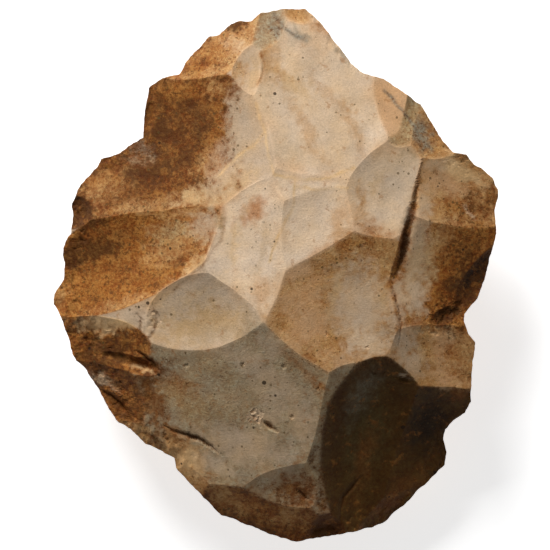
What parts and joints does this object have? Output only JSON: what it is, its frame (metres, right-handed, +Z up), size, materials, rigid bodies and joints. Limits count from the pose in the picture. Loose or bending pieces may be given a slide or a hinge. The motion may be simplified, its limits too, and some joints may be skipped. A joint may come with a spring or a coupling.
{
  "type": "levallois core",
  "caption": "Prepared flint core lying on its underside, its low domed face covered with broad flake scars that meet in sharp ridges, with a thin irregular rim",
  "frame": {"origin": "middle of the bounding box in plan, at the level of the flat patch that the core lies on", "axes": "+Z is up, away from the worked face; +Y is the core's long way towards its narrower pale end; +X is its wide way, to the right as the worked face is looked at from above"},
  "size_m": [0.117, 0.14, 0.0363],
  "materials": {
    "flint": "dull patinated flint, cream to ochre brown and olive black"
  },
  "bodies": {
    "root": {"core": "flint"}
  },
  "joints": []
}
